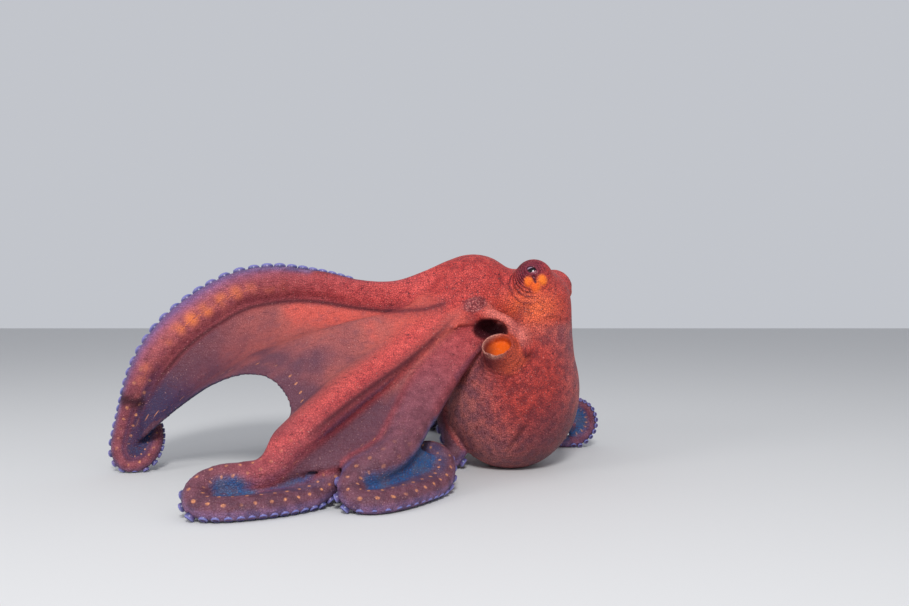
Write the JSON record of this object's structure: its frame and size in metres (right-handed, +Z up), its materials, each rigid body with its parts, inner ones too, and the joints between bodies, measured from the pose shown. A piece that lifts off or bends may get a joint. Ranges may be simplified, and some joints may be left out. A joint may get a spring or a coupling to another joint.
{
  "type": "octopus",
  "caption": "Day octopus crawling with its arms fanned out, their tips curled and the web stretched between them; a still life-size display model.",
  "frame": {"origin": "on the floor, under the middle of the whole animal's outline seen from above", "axes": "+Z up; the animal crawls towards -X and its left side faces -Y; +Y is the longest extent"},
  "size_m": [0.363, 0.3786, 0.157],
  "materials": {
    "skin": "wet, soft, mottled skin",
    "arm": "wet, soft, mottled skin",
    "web": "wet, thin, wrinkled skin",
    "funnel": "wet, soft, smoother skin",
    "eye": "wet and glossy"
  },
  "bodies": {
    "root": {"head": "skin", "eye_left": "eye", "eye_right": "eye", "neck": "skin", "mantle": "skin", "funnel": "funnel", "arm_crown": "skin", "arm_left_1_base": "arm", "arm_left_1_middle": "arm", "arm_left_1_tip": "arm", "arm_left_2_base": "arm", "arm_left_2_middle": "arm", "arm_left_2_tip": "arm", "arm_left_3_base": "arm", "arm_left_3_middle": "arm", "arm_left_3_tip": "arm", "arm_left_4_base": "arm", "arm_left_4_middle": "arm", "arm_left_4_tip": "arm", "arm_right_1_base": "arm", "arm_right_1_middle": "arm", "arm_right_1_tip": "arm", "arm_right_2_base": "arm", "arm_right_2_middle": "arm", "arm_right_2_tip": "arm", "arm_right_3_base": "arm", "arm_right_3_middle": "arm", "arm_right_3_tip": "arm", "arm_right_4_base": "arm", "arm_right_4_middle": "arm", "arm_right_4_tip": "arm", "web_left_1_to_left_2_upper": "web", "web_left_1_to_left_2_front": "web", "web_left_1_to_left_2_back": "web", "web_left_2_to_left_3": "web", "web_left_3_to_left_4": "web", "web_left_4_to_right_4": "web", "web_right_4_to_right_3": "web", "web_right_3_to_right_2": "web", "web_right_2_to_right_1": "web", "web_right_1_to_left_1": "web"}
  },
  "joints": []
}
